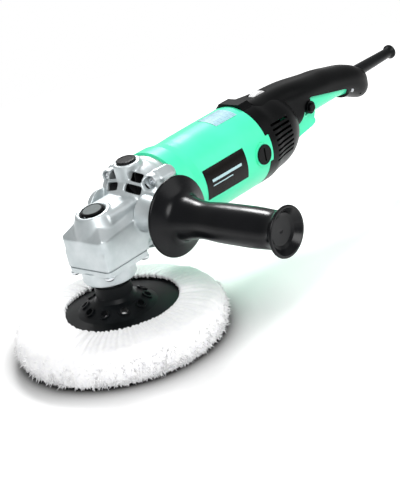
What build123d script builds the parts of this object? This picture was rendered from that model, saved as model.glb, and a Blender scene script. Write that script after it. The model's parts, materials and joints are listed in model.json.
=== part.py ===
from build123d import *
import math
import os

# Rotary polisher, in millimetres.
# Origin: on the floor, at the centre of the bonnet's working face. +Z is up along the spindle,
# +X runs back along the motor to the rear handle, and the side handle sticks out towards -Y.

# ---------------------------------------------------------------- driving dimensions
MOTOR_Z = 108.0               # height of the motor axis above the floor

# wool bonnet and backing pad
BONNET_R = 97.0
BONNET_TOP = 35.5
BONNET_OPENING_R = 57.0
WOOL = 12.0                   # thickness of the wool under the pad
PAD_R = 84.0
PAD_NECK_R = 16.5
PAD_NECK_TOP = 58.0
PAD_HOLES = 10
PAD_HOLE_R = 3.4
PAD_HOLE_START = -86.0        # degrees

# bevel gears: both pitch cones meet on the motor axis above the spindle
MODULE = 0.9
CROWN_TEETH = 43
PINION_TEETH = 12
FACE_WIDTH = 5.6
CROWN_ADDENDUM = 0.65
PINION_ADDENDUM = 0.92
DEDENDUM = 1.16
FLANK_RELIEF = 0.07           # each flank stands back by this, for backlash
PRESSURE_ANGLE = math.radians(20)
CROWN_PITCH_R = MODULE * CROWN_TEETH / 2
PINION_BORE_R = 2.2

# spindle
SPINDLE_THREAD_R = 7.0        # M14
SPINDLE_COLLAR_R = 11.0
SPINDLE_SEAT_R = 6.0
SPINDLE_TOP_R = 4.5
RUNNING_FIT = 0.03
WEB_BOTTOM = 96.0
WEB_TOP = 101.5

# spindle lock
LOCK_X = -3.0
LOCK_R = 10.4
LOCK_CAP_R = 8.6
LOCK_TOP = 128.0
LOCK_TILT = 8.0               # degrees that the button's face leans towards the nose
LOCK_RECESS_R = 11.6
LOCK_RIM_Z = 126.4            # the casting around the button
LOCK_PIN_X = -11.0
LOCK_PIN_R = 2.2
LOCK_PIN_TOP = 124.9
RECESS_FLOOR = 118.5
ROOF_UNDERSIDE = 115.5

# gear housing
GEARBOX_FRONT = -23.6
GEARBOX_HALF = 25.6
GEARBOX_BOTTOM = 79.0
RIDGE_Z = 106.3
WALL = 3.0
SADDLE_HALF = 20.0            # flat top between the lock button and the bell
DOME_R = 40.0
JOINT_X = 73.0                # where the gear housing meets the motor housing
BULKHEAD = (24.0, 36.0)
SCREW_RADIAL = 37.5
LUG_ANGLES = (45, 135, 225, 315)

# bearing plate
PLATE_BOTTOM = 74.0
PLATE_FRONT = -23.0
PLATE_REAR = 29.0
PLATE_HALF = 25.0
PLATE_BOSS_R = 24.0
PLATE_SCREW_X = (-19.5, 25.0)
PLATE_SCREW_Y = 21.0

# motor
MOTOR_R = 40.4
MOTOR_REAR = 190.0
STATOR_R = 36.0
STATOR_BORE = 21.0
CORE_R = 20.2
CORE_X = (98.0, 148.0)
BRUSH_X = 180.0
BRUSH_CAP_R = 9.5
BRUSH_CAP_FACE = 42.2
COMMUTATOR_R = 12.0

# side handle
SIDE_X = 34.8
SIDE_Z = 111.5
SIDE_BOSS_Y = 44.0
SPARE_BOSS_Y = 34.0           # the unused boss on the right is shorter
SIDE_THREAD_R = 4.25          # M10 tapping bore
FLANGE_R = 35.3
SIDE_END = 180.8

# rear housing and handle
SKIN = 2.5
HANDLE_END = 388.0
DIAL_X = 231.5
DIAL_Z = 136.6
DIAL_R = 12.0
DIAL_HALF = 4.0
LOCK_ON = (280.7, 115.3)
LOCK_ON_EAR_R = 6.3
LOCK_ON_HEAD_R = 4.3
LOCK_ON_FACE = -22.6
TRIGGER_PIVOT = (356.5, 105.0)
TRIGGER_INSET = 3.1           # how far the trigger's skin lies inside the handle's
TRIGGER_WALL = 2.0
LEVER_PIVOT = (288.4, 97.7)
SWITCH_X = 303.0
PLUNGER_BOTTOM = 111.3
GUARD_Z = 112.6
GUARD_END = 451.0
HANDLE_SCREWS = [(210.0, 138.0), (257.0, 105.0), (324.0, 129.0), (373.0, 96.0)]
CLAMP_X = 366.0
CLAMP_SCREWS = (104.4, 120.8)
HANDLE_SECTIONS = [
    # x, top, bottom, half width
    (206, 148.0, 100.0, 22.5),
    (226, 146.4, 98.5, 20.5),
    (247, 145.5, 97.0, 19.0),
    (268, 143.8, 98.0, 20.5),
    (290, 140.9, 99.5, 21.0),
    (312, 138.0, 99.5, 19.6),
    (334, 135.0, 99.0, 18.4),
    (352, 131.2, 97.6, 18.0),
    (369, 127.0, 92.0, 17.6),
    (381, 121.6, 88.0, 16.0),
    (388, 117.6, 90.0, 13.5),
]

NODES = {}


# ---------------------------------------------------------------- small helpers
def rod_x(radius, x0, x1, y=0.0, z=MOTOR_Z):
    return Pos((x0 + x1) / 2, y, z) * Rot(0, 90, 0) * Cylinder(radius, x1 - x0)


def rod_y(radius, y0, y1, x=0.0, z=0.0):
    return Pos(x, (y0 + y1) / 2, z) * Rot(90, 0, 0) * Cylinder(radius, y1 - y0)


def rod_z(radius, z0, z1, x=0.0, y=0.0):
    return Pos(x, y, (z0 + z1) / 2) * Cylinder(radius, z1 - z0)


def block(x0, x1, y0, y1, z0, z1):
    return Pos((x0 + x1) / 2, (y0 + y1) / 2, (z0 + z1) / 2) * Box(x1 - x0, y1 - y0, z1 - z0)


def turned_z(points, x=0.0, y=0.0):
    """Solid of revolution about a vertical axis from (radius, z) points."""
    outline = make_face(Polyline([(r, 0, z) for r, z in points], close=True))
    return Pos(x, y, 0) * revolve(outline, Axis.Z)


def turned_x(points, z=MOTOR_Z):
    """Solid of revolution about an axis along X from (x, radius) points."""
    outline = make_face(Polyline([(px, 0, r) for px, r in points], close=True))
    return Pos(0, 0, z) * revolve(outline, Axis.X)


def turned_y(points, x, z):
    """Solid of revolution about an axis along Y from (y, radius) points."""
    outline = make_face(Polyline([(r, py, 0) for py, r in points], close=True))
    return Pos(x, 0, z) * revolve(outline, Axis.Y)


def sector_x(r0, r1, middle, span, x0, x1):
    """Piece of a ring about the motor axis; angles are in degrees, 0 is straight up."""
    outline = make_face(Polyline([(x0, 0, r0), (x1, 0, r0), (x1, 0, r1), (x0, 0, r1)], close=True))
    swept = revolve(outline, Axis.X, span)
    return Pos(0, 0, MOTOR_Z) * Rot(middle - span / 2, 0, 0) * swept


def prism_y(points, y0, y1):
    """Side-view outline of (x, z) points, given thickness from y0 to y1."""
    outline = make_face(Polyline([(px, y0, pz) for px, pz in points], close=True))
    return extrude(outline, amount=y1 - y0, dir=(0, 1, 0))


def around_motor(angle, radial):
    """Y and Z of a place at this radius from the motor axis; angle 0 points to +Y."""
    turn = math.radians(angle)
    return radial * math.cos(turn), MOTOR_Z + radial * math.sin(turn)


def mirrored(shape):
    return shape.mirror(Plane.XZ)


def pair(shape):
    """The shape and its mirror image, kept as separate solids."""
    return Compound([*shape.solids(), *mirrored(shape).solids()])


def coil_spring(radius, wire, length, turns):
    """Coil spring standing on z = 0 about the Z axis."""
    path = Helix(length / turns, length, radius)
    section = Plane(origin=path @ 0, z_dir=path % 0) * Circle(wire)
    return sweep(section, path)


def ball_bearing(bore, outside, width, balls):
    """Deep-groove bearing about the Z axis, centred on z = 0: two races, balls and a cage."""
    pitch = (bore + outside) / 2
    ball = (outside - bore) * 0.28
    wall = (outside - bore) * 0.3
    groove = Torus(pitch, ball + 0.05)
    inner = Cylinder(bore + wall, width) - Cylinder(bore, width) - groove
    outer = Cylinder(outside, width) - Cylinder(outside - wall, width) - groove
    spheres = [Rot(0, 0, i * 360 / balls) * Pos(pitch, 0, 0) * Sphere(ball) for i in range(balls)]
    return Compound([*inner.solids(), *outer.solids(), *spheres])


def pan_screw(head, shank, length, height=3.0):
    """Screw about the Z axis: its head sits above z = 0 and its shank goes down."""
    rim = Pos(0, 0, height / 2) * Cylinder(head, height)
    rim = fillet(rim.edges().group_by(Axis.Z)[-1], height * 0.6)
    cross = Pos(0, 0, height) * (Box(head * 1.1, 1.1, 2.2) + Box(1.1, head * 1.1, 2.2))
    return rim - cross + Pos(0, 0, -length / 2) * Cylinder(shank, length)


def keep(name, shape):
    NODES[name] = shape


# ---------------------------------------------------------------- bonnet and pad
def wool_bonnet():
    floor = WOOL
    rim = PAD_R + 0.9
    with BuildSketch(Plane.XZ) as section:
        with BuildLine():
            Polyline((0, 0), (BONNET_R - 13, 0))
            ThreePointArc((BONNET_R - 13, 0), (BONNET_R - 2.6, 6.5), (BONNET_R, 17))
            ThreePointArc((BONNET_R, 17), (BONNET_R - 4.5, 28), (BONNET_R - 15, 33.5))
            Line((BONNET_R - 15, 33.5), (BONNET_OPENING_R + 2, BONNET_TOP))
            ThreePointArc((BONNET_OPENING_R + 2, BONNET_TOP),
                          (BONNET_OPENING_R, BONNET_TOP - 1.8),
                          (BONNET_OPENING_R + 2, 32.4))
            Polyline((BONNET_OPENING_R + 2, 32.4), (rim, 22.6), (rim, floor), (29, floor))
            Polyline((29, floor), (20, 31), (0, 31), (0, 0))
        make_face()
    return revolve(section.sketch, Axis.Z)


def pad_profile():
    """Right-hand half of the rubber pad: (radius, z) from the neck down and round."""
    under = WOOL + 0.3
    return [(11.1, 44), (11.1, PAD_NECK_TOP), (PAD_NECK_R - 0.8, PAD_NECK_TOP),
            (PAD_NECK_R, PAD_NECK_TOP - 0.8), (PAD_NECK_R, 46.5), (19, 43.5), (24, 41), (32, 36),
            (36, 34.2), (58, 30.6), (PAD_R, 20.5), (PAD_R, under), (32.5, under),
            (31, 29), (21, 36.5), (8, 39.5), (8, 44)]


def backing_pad():
    body = turned_z(pad_profile())
    for i in range(PAD_HOLES):
        hole = Rot(0, 0, PAD_HOLE_START + i * 360 / PAD_HOLES) * Pos(27, 0, 38.2)
        rim = hole * Rot(0, 32, 0) * (Pos(0, 0, 1.2) * Cylinder(PAD_HOLE_R + 1.4, 2.4))
        body = body + rim
        body = body - hole * Rot(0, 32, 0) * (Pos(0, 0, -2) * Cylinder(PAD_HOLE_R, 16))
    return body


def pad_hub_nut():
    return rod_z(11.0, 44.1, 59.6) - rod_z(SPINDLE_THREAD_R + 0.05, 40, 62)


def bonnet_drawcord():
    """Cotton cord that runs inside the gathered edge; here it rests just under the lip."""
    return Pos(0, 0, 33.6) * Torus(BONNET_OPENING_R - 1.3, 0.9)


# ---------------------------------------------------------------- bevel gears
def involute(angle):
    return math.tan(angle) - angle


def flank_half_angle(height, virtual_r, teeth_virtual):
    """Half the tooth's angle on the back cone at this height above the pitch line."""
    base_r = virtual_r * math.cos(PRESSURE_ANGLE)
    radius = max(virtual_r + height, base_r)
    at_height = math.acos(min(1.0, base_r / radius))
    at_pitch = math.pi / (2 * teeth_virtual) - FLANK_RELIEF / virtual_r
    return at_pitch + involute(PRESSURE_ANGLE) - involute(at_height)


def bevel_tooth(cone_angle, cone_length, addendum, teeth):
    """One tooth about the local X side: a frustum whose edges all point at the apex."""
    along = Vector(math.sin(cone_angle), 0, math.cos(cone_angle))
    pitch_r = cone_length * math.sin(cone_angle)
    virtual_r = pitch_r / math.cos(cone_angle)
    teeth_virtual = teeth / math.cos(cone_angle)
    steps = 6
    bottom = -DEDENDUM - 0.5
    heights = [bottom] + [-DEDENDUM * 0.5 + i * (addendum + DEDENDUM * 0.5) / steps
                          for i in range(steps + 1)]
    corners = []
    for side in (1, -1):
        run = heights if side == 1 else heights[::-1]
        for height in run:
            turn = side * flank_half_angle(height, virtual_r, teeth_virtual) / math.cos(cone_angle)
            radius = pitch_r + height * math.cos(cone_angle)
            corner = Vector(radius * math.cos(turn), radius * math.sin(turn),
                            cone_length * math.cos(cone_angle) - height * math.sin(cone_angle))
            corners.append(corner * (cone_length / corner.dot(along)))
    inner = (cone_length - FACE_WIDTH) / cone_length
    large = Face(Wire.make_polygon(corners))
    small = Face(Wire.make_polygon([corner * inner for corner in corners]))
    return Solid.make_loft([large.outer_wire(), small.outer_wire()], ruled=True)


def bevel_gear(teeth, mate_teeth, addendum, body):
    """Gear with its apex at the origin and its axis along +Z, teeth fused onto the body."""
    cone_angle = math.atan2(teeth, mate_teeth)
    cone_length = MODULE * math.hypot(teeth, mate_teeth) / 2
    tooth = bevel_tooth(cone_angle, cone_length, addendum, teeth)
    start = 0.5 if teeth % 2 == 0 else 0.0
    ring = [Rot(0, 0, (i + start) * 360 / teeth) * tooth for i in range(teeth)]
    return body.fuse(*ring)


def root_body(teeth, mate_teeth, back, bore):
    """Blank under the teeth: (radius, z) points on the root cone, then the back and the bore."""
    cone_angle = math.atan2(teeth, mate_teeth)
    cone_length = MODULE * math.hypot(teeth, mate_teeth) / 2
    points = []
    for length in (cone_length - FACE_WIDTH, cone_length):
        scale = length / cone_length
        radius = length * math.sin(cone_angle) - scale * DEDENDUM * math.cos(cone_angle)
        axial = length * math.cos(cone_angle) + scale * DEDENDUM * math.sin(cone_angle)
        points.append((radius, axial))
    return turned_z([*points, *back, *bore])


def crown_gear():
    drop = MOTOR_Z - WEB_TOP
    rim_drop = MOTOR_Z - WEB_BOTTOM
    back = [(18.6, 9.0), (17.0, rim_drop), (9.0, rim_drop), (9.0, rim_drop + 3)]
    bore = [(SPINDLE_SEAT_R, rim_drop + 3), (SPINDLE_SEAT_R, drop), (12.9, drop)]
    gear = bevel_gear(CROWN_TEETH, PINION_TEETH, CROWN_ADDENDUM,
                      root_body(CROWN_TEETH, PINION_TEETH, back, bore))
    for i in range(4):
        hole = Rot(0, 0, i * 90) * Pos(-LOCK_PIN_X, 0, rim_drop) * Cylinder(LOCK_PIN_R + 0.4, 30)
        gear = gear - hole
    return Pos(0, 0, MOTOR_Z) * Rot(180, 0, 0) * gear


def drive_pinion():
    cone_angle = math.atan2(PINION_TEETH, CROWN_TEETH)
    back_x = CROWN_PITCH_R + DEDENDUM * math.sin(cone_angle)
    front_x = CROWN_PITCH_R - FACE_WIDTH * math.cos(cone_angle) + DEDENDUM * math.sin(cone_angle) * 0.7
    back = [(4.0, back_x + 1.2), (PINION_BORE_R, back_x + 1.2)]
    bore = [(PINION_BORE_R, front_x)]
    gear = bevel_gear(PINION_TEETH, CROWN_TEETH, PINION_ADDENDUM,
                      root_body(PINION_TEETH, CROWN_TEETH, back, bore))
    return Pos(0, 0, MOTOR_Z) * Rot(0, 90, 0) * gear


# ---------------------------------------------------------------- spindle
def spindle():
    seat = SPINDLE_SEAT_R - RUNNING_FIT
    body = turned_z([(0, 44), (SPINDLE_THREAD_R - 1, 44), (SPINDLE_THREAD_R, 45),
                     (SPINDLE_THREAD_R, 60), (SPINDLE_COLLAR_R, 60), (SPINDLE_COLLAR_R, 64.4),
                     (8.0, 64.4), (8.0, 66.0), (seat, 66.0), (seat, 76.2), (7.6, 76.2),
                     (7.6, 92.9), (SPINDLE_SEAT_R, 92.9), (SPINDLE_SEAT_R, 103.4),
                     (SPINDLE_TOP_R, 103.4), (SPINDLE_TOP_R, 114.6), (SPINDLE_TOP_R - 0.8, 115.4),
                     (0, 115.4)])
    groove = rod_z(7, 101.6, 102.8) - rod_z(5.4, 101, 104)
    flats = block(8.5, 12, -12, 12, 60, 64.4)
    return body - groove - flats - mirrored(flats.mirror(Plane.YZ))


def crown_gear_circlip():
    ring = rod_z(7.4, 101.8, 102.8) - rod_z(5.5, 101, 104)
    return ring - block(3, 9, -1.6, 1.6, 101, 104)


def lower_spindle_bearing():
    return Pos(0, 0, 71) * ball_bearing(SPINDLE_SEAT_R, 16.0, 10.0, 8)


def upper_spindle_bush():
    return rod_z(6.4, 107.5, 115.2) - rod_z(SPINDLE_TOP_R + RUNNING_FIT, 100, 120)


def spindle_seal():
    return rod_z(16.0, 76.3, 78.6) - rod_z(7.7, 76, 79)


# ---------------------------------------------------------------- gear housing
def wedge_cut(body, point, normal):
    """Cut the body with a plane and keep the side that the normal points away from."""
    return body.split(Plane(origin=point, z_dir=normal), keep=Keep.BOTTOM)


def gearbox_block(inset, x_end, z_low, z_top):
    """Front of the casting: upright walls, a ridge and sloping shoulders, all offset by inset."""
    body = block(GEARBOX_FRONT - 4, x_end, -GEARBOX_HALF - 3, GEARBOX_HALF + 3, z_low, z_top)
    faces = [
        ((GEARBOX_FRONT + 0.5, 0, 79), (-1, 0, -0.025)),
        ((0, GEARBOX_HALF - 0.6, 79), (0, 1, -0.03)),
        ((0, -GEARBOX_HALF + 0.6, 79), (0, -1, -0.03)),
        ((GEARBOX_FRONT - 0.3, 0, RIDGE_Z), (-0.74, 0, 0.67)),
        ((GEARBOX_FRONT, -GEARBOX_HALF - 0.4, RIDGE_Z), (-0.09, -0.66, 0.745)),
        ((GEARBOX_FRONT, GEARBOX_HALF + 0.4, RIDGE_Z), (-0.09, 0.66, 0.745)),
    ]
    for point, normal in faces:
        outward = Vector(*normal).normalized()
        body = wedge_cut(body, Vector(*point) - outward * inset, outward)
    return body


def dome(inset, x_end):
    """Bell behind the gearbox that widens to the motor; offset by inset."""
    slope = 1.18 * inset
    step = 0.85 * inset
    return turned_x([(26 + inset, 0), (26 + inset, 13.5 - inset), (33.8 + slope, 23.0 - step * 0.5),
                     (42.6 + slope, 36.6 - step * 0.5), (45.6 + slope, 38.8 - step),
                     (50, DOME_R - inset), (62, DOME_R - inset), (66, 38.9 - inset),
                     (x_end, 38.9 - inset), (x_end, 0)])


def corner_lug(angle):
    lug = Pos(61.5, 0, MOTOR_Z) * Rot(angle, 0, 0) * Pos(0, 38.3, 0) * Box(19, 13.4, 13.6)
    return fillet(lug.edges(), 3.2)


def lock_mound():
    """Raised seat of the lock button; its rim leans towards the nose like the button."""
    lean = math.radians(LOCK_TILT)
    foot = Plane(origin=(0, 0, 105.4)) * Circle(24.0)
    rim = Plane(origin=(LOCK_X, 0, LOCK_RIM_Z), z_dir=(-math.sin(lean), 0, math.cos(lean))) * Circle(15.4)
    return loft([foot, rim])


def saddle():
    """Broad top of the casting between the lock button and the bell."""
    body = block(-2, 37, -SADDLE_HALF, SADDLE_HALF, 104, LOCK_RIM_Z)
    return fillet(body.edges().filter_by(Axis.X).group_by(Axis.Z)[-1], 9.0)


def gear_housing():
    body = fillet_block(gearbox_block(0, 60, GEARBOX_BOTTOM, 121.5))
    body = body + lock_mound() + saddle()
    body = body.split(Plane(origin=(0, 0, GEARBOX_BOTTOM), z_dir=(0, 0, 1)), keep=Keep.TOP)
    body = body + dome(0, JOINT_X)
    for angle in LUG_ANGLES:
        body = body + corner_lug(angle)
    body = body + Pos(49.2, 0, 140) * Rot(0, -4, 0) * Cylinder(12.6, 22.6)
    boss = turned_y([(-SIDE_BOSS_Y, 0), (-SIDE_BOSS_Y, 13.0), (-SIDE_BOSS_Y + 1, 14.0),
                     (-26, 17.0), (-26, 0)], SIDE_X, SIDE_Z)
    spare = turned_y([(26, 0), (26, 17.0), (SPARE_BOSS_Y - 1, 14.4), (SPARE_BOSS_Y, 13.4), (SPARE_BOSS_Y, 0)],
                     SIDE_X, SIDE_Z)
    body = body + boss + spare

    chamber = gearbox_block(WALL, BULKHEAD[0], GEARBOX_BOTTOM - 1, ROOF_UNDERSIDE)
    plenum = dome(WALL, JOINT_X + 1) - block(0, BULKHEAD[1], -50, 50, 40, 160)
    body = body - chamber - plenum

    body = body + rod_z(7.7, 107.6, 119) - rod_z(6.4, 100, 116.2)
    for angle in LUG_ANGLES:
        y, z = around_motor(angle, SCREW_RADIAL)
        body = body + rod_x(6.6, 46, JOINT_X, y, z)
    for angle in LUG_ANGLES:
        y, z = around_motor(angle, SCREW_RADIAL)
        body = body - rod_x(5.2, 30, 51, y, z) - rod_x(2.3, 50, JOINT_X + 1, y, z)
    envelope = gearbox_block(0.5, 60, GEARBOX_BOTTOM, 121)
    for y in (-PLATE_SCREW_Y, PLATE_SCREW_Y):
        body = body + (rod_z(4.6, GEARBOX_BOTTOM, 95, PLATE_SCREW_X[0], y) & envelope)
    for x in PLATE_SCREW_X:
        for y in (-PLATE_SCREW_Y, PLATE_SCREW_Y):
            body = body - rod_z(2.1, GEARBOX_BOTTOM - 1, 91, x, y)

    body = body - rod_z(LOCK_RECESS_R, RECESS_FLOOR, 135, LOCK_X)
    body = body - rod_z(LOCK_PIN_R + 0.06, 100, 125, LOCK_PIN_X)
    body = body - rod_z(3.1, 100, ROOF_UNDERSIDE, LOCK_PIN_X)
    body = body - rod_x(14.0, BULKHEAD[0] + 1, 37) - rod_x(11.6, 20, 37)
    body = body - rod_y(SIDE_THREAD_R, -SIDE_BOSS_Y - 1, -27, SIDE_X, SIDE_Z)
    body = body - rod_y(SIDE_THREAD_R, 25.5, SPARE_BOSS_Y + 1, SIDE_X, SIDE_Z)
    body = body - Pos(49.2, 0, 140) * Rot(0, -4, 0) * Cylinder(SIDE_THREAD_R, 40)
    for window in vent_windows():
        body = body - window
    return body


def fillet_block(body):
    """Round the upright corners of the gearbox block."""
    front = body.edges().filter_by(lambda e: e.center().X < GEARBOX_FRONT + 6)
    upright = front.filter_by(lambda e: abs(e.tangent_at(0.5).Z) > 0.9)
    return fillet(upright, 6.0)


def vent_windows():
    """Four air outlets in the sloping front of the bell, two above two."""
    rows = [(41.3, 140.4, 8.2, 20.0, 4.0), (36.0, 131.4, 4.4, 20.6, 3.6)]
    cuts = []
    for x, z, y_in, y_out, half in rows:
        for side in (-1, 1):
            middle = side * (y_in + y_out) / 2
            hole = Box(16, y_out - y_in, 2 * half)
            hole = fillet(hole.edges().filter_by(Axis.X), 1.4)
            cuts.append(Pos(x, middle, z) * Rot(0, 32, 0) * Rot(side * -6, 0, 0) * hole)
    return cuts


def bearing_plate():
    plate = block(PLATE_FRONT, PLATE_REAR, -PLATE_HALF, PLATE_HALF, PLATE_BOTTOM, 78.6)
    plate = fillet(plate.edges().filter_by(Axis.Z), 5.0)
    boss = turned_z([(0, 62), (21.6, 62), (22.6, 63), (22.6, 64.8), (PLATE_BOSS_R, 64.8),
                     (PLATE_BOSS_R, 75), (0, 75)])
    plate = plate + boss
    plate = plate + rod_z(19.6, 78.6, 80.4)
    plate = plate - rod_z(16.0, 66, 81) - rod_z(12.2, 60, 70)
    for x in PLATE_SCREW_X:
        for y in (-PLATE_SCREW_Y, PLATE_SCREW_Y):
            plate = plate - rod_z(2.4, 70, 82, x, y)
    return plate


def gearbox_gasket():
    sheet = block(PLATE_FRONT + 0.6, PLATE_REAR - 0.6, -PLATE_HALF + 0.6, PLATE_HALF - 0.6, 78.6, 79.0)
    sheet = fillet(sheet.edges().filter_by(Axis.Z), 4.4)
    sheet = sheet - rod_z(19.7, 78, 80)
    for x in PLATE_SCREW_X:
        for y in (-PLATE_SCREW_Y, PLATE_SCREW_Y):
            sheet = sheet - rod_z(2.4, 70, 82, x, y)
    return sheet


def bearing_plate_screws():
    screw = Rot(180, 0, 0) * pan_screw(4.2, 2.0, 16)
    return Compound([s for x in PLATE_SCREW_X for y in (-PLATE_SCREW_Y, PLATE_SCREW_Y)
                     for s in (Pos(x, y, PLATE_BOTTOM) * screw).solids()])


def gear_housing_screws():
    screws = []
    for angle in LUG_ANGLES:
        y, z = around_motor(angle, SCREW_RADIAL)
        screws += (Pos(51, y, z) * Rot(0, -90, 0) * pan_screw(4.2, 2.0, 36, 3.4)).solids()
    return Compound(screws)


def top_hole_plug():
    cap = Pos(0, 0, 12.4) * Cylinder(9.1, 2.2)
    cap = fillet(cap.edges().group_by(Axis.Z)[-1], 0.9)
    cap = cap - Pos(0, 0, 14.2) * Cylinder(6.4, 1.8)
    stem = Pos(0, 0, 7.4) * Cylinder(SIDE_THREAD_R, 8)
    return Pos(49.2, 0, 140) * Rot(0, -4, 0) * (cap + stem)


# ---------------------------------------------------------------- spindle lock
def lock_face():
    """Place of the button's face: centred on the button and leaning towards the nose."""
    return Pos(LOCK_X, 0, LOCK_TOP) * Rot(0, -LOCK_TILT, 0)


def spindle_lock_button():
    cup = lock_face() * turned_z([(LOCK_CAP_R, -3.6), (LOCK_R, -3.6), (LOCK_R, -0.8), (LOCK_R - 0.8, 0),
                                  (LOCK_CAP_R, 0), (LOCK_CAP_R, -1.6), (0, -1.6), (0, -2.6),
                                  (LOCK_CAP_R, -2.6)])
    return cup - rod_z(LOCK_PIN_R, 118, LOCK_PIN_TOP, LOCK_PIN_X)


def spindle_lock_cap():
    cap = Pos(0, 0, -0.9) * Cylinder(LOCK_CAP_R - 0.05, 1.4)
    return lock_face() * fillet(cap.edges().group_by(Axis.Z)[-1], 0.5)


def spindle_lock_pin():
    pin = rod_z(LOCK_PIN_R, 103.0, LOCK_PIN_TOP, LOCK_PIN_X)
    collar = rod_z(2.9, 114.0, 115.2, LOCK_PIN_X)
    return pin + collar


def lock_button_spring():
    return Pos(LOCK_X, 0, RECESS_FLOOR + 0.5) * coil_spring(4.8, 0.45, 4.9, 3)


# ---------------------------------------------------------------- motor
def motor_housing():
    outer = [(JOINT_X, 41.2), (88, 41.2), (98, 39.4), (106, 39.3), (122, 39.9), (150, 40.3),
             (MOTOR_REAR, MOTOR_R)]
    inner = [(x, 37.4) for x in (MOTOR_REAR, JOINT_X)]
    shell = turned_x([*outer, *inner])
    tongue = turned_x([(MOTOR_REAR - 1, 37.4), (MOTOR_REAR - 1, MOTOR_R), (194.5, MOTOR_R), (194.5, 37.4)])
    tongue = tongue & block(180, 200, -60, 60, 97, 122)
    shell = shell + tongue
    for angle in LUG_ANGLES:
        y, z = around_motor(angle, SCREW_RADIAL - 0.5)
        post = rod_x(5.4, JOINT_X, 92, y, z) & rod_x(39.4, JOINT_X, 92)
        y, z = around_motor(angle, SCREW_RADIAL)
        shell = shell + post - rod_x(2.1, JOINT_X - 1, 90, y, z)
    for side in (-1, 1):
        seat = (-41.4, -30) if side < 0 else (30, 41.4)
        shell = shell + rod_y(11.2, *seat, BRUSH_X, MOTOR_Z)
    ribs = sector_x(35.9, 37.6, 0, 16, CORE_X[0], 152)
    for angle in (45, 135, 225, 315):
        shell = shell + Pos(0, 0, MOTOR_Z) * Rot(angle, 0, 0) * Pos(0, 0, -MOTOR_Z) * ribs
    shell = shell - rod_x(STATOR_R, CORE_X[0], CORE_X[1])
    carrier = rod_x(14.5, 190.5, 201) - rod_x(11.0, 193, 202) - rod_x(6.5, 189, 202)
    for angle in (45, 135):
        arm = Pos(189.5, 0, MOTOR_Z) * Rot(angle, 0, 0) * Box(6, 75.2, 8)
        carrier = carrier + (arm - rod_x(14.2, 180, 190.6) - rod_x(11.0, 180, 210))
    shell = shell + (carrier & rod_x(37.5, 180, 210))
    for side in (-1, 1):
        reach = (-60, -20) if side < 0 else (20, 60)
        shell = shell - rod_y(8.2, *reach, BRUSH_X, MOTOR_Z)
    return shell


def stator_core():
    ring = rod_x(STATOR_R, *CORE_X) - rod_x(31.0, CORE_X[0] - 1, CORE_X[1] + 1)
    for middle in (0, 180):
        ring = ring + sector_x(STATOR_BORE, 32.0, middle, 92, *CORE_X)
    return ring


def field_coils():
    coils = []
    for middle in (0, 180):
        loop = sector_x(22.4, 30.4, middle, 150, 89, CORE_X[0])
        loop = loop + sector_x(22.4, 30.4, middle, 150, CORE_X[1], 157)
        for side in (-1, 1):
            loop = loop + sector_x(22.4, 30.4, middle + side * 61.5, 27, *CORE_X)
        coils += loop.solids()
    return Compound(coils)


def air_baffle():
    ring = turned_x([(75, 36.8), (77, 36.8), (84, 27.5), (84, 25.5), (75, 33)])
    for angle in LUG_ANGLES:
        y, z = around_motor(angle, SCREW_RADIAL)
        ring = ring - rod_x(6.4, 70, 95, y, z)
    return ring


def armature_shaft():
    front = 12.0 / 2 - RUNNING_FIT
    rear = 4.0 - RUNNING_FIT
    return turned_x([(9.4, 0), (9.4, PINION_BORE_R), (20.9, PINION_BORE_R), (20.9, 5.0), (24.8, 5.0),
                     (24.8, front), (33.4, front), (33.4, 6.6), (36, 6.6), (36, 5.5), (192.8, 5.5), (192.8, rear),
                     (201, rear), (201, 0)])


def pinion_nut():
    nut = Pos(10.4, 0, MOTOR_Z) * Rot(0, 90, 0) * extrude(RegularPolygon(4.0, 6), 2.6)
    return nut - rod_x(PINION_BORE_R, 9, 15)


def front_armature_bearing():
    return Pos(29, 0, MOTOR_Z) * Rot(0, 90, 0) * ball_bearing(6.0, 14.0, 8.0, 8)


def rear_armature_bearing():
    return Pos(196.5, 0, MOTOR_Z) * Rot(0, 90, 0) * ball_bearing(4.0, 11.0, 7.0, 7)


def front_bearing_retainer():
    ring = turned_x([(33.0, 11.0), (33.0, 14.0), (35.0, 14.0), (35.0, 11.0)])
    return ring


def slot_cutters(count, depth_r, half, x0, x1):
    slot = block(x0, x1, -half, half, MOTOR_Z + depth_r, MOTOR_Z + 30)
    return [Pos(0, 0, MOTOR_Z) * Rot(i * 360 / count, 0, 0) * Pos(0, 0, -MOTOR_Z) * slot
            for i in range(count)]


def armature_core():
    core = rod_x(CORE_R, *CORE_X) - rod_x(5.5, 90, 160)
    return core.cut(*slot_cutters(12, 11.0, 1.6, CORE_X[0] - 1, CORE_X[1] + 1))


def armature_windings():
    front = turned_x([(89, 8), (91, 15), (94, 17.6), (CORE_X[0], 18.6), (CORE_X[0], 5.5), (89, 5.5)])
    rear = turned_x([(CORE_X[1], 5.5), (CORE_X[1], 18.6), (153, 17.8), (159, 13), (167, 11), (167, 5.5)])
    bars = [cut & rod_x(18.2, *CORE_X) for cut in slot_cutters(12, 11.4, 1.5, *CORE_X)]
    return Compound([*front.solids(), *rear.solids(), *[s for bar in bars for s in bar.solids()]])


def commutator():
    drum = rod_x(COMMUTATOR_R, 170, 188) + rod_x(13.4, 167.2, 170.5)
    drum = drum - rod_x(5.5, 160, 195)
    return drum.cut(*slot_cutters(24, COMMUTATOR_R - 0.8, 0.25, 166, 190))


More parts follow.
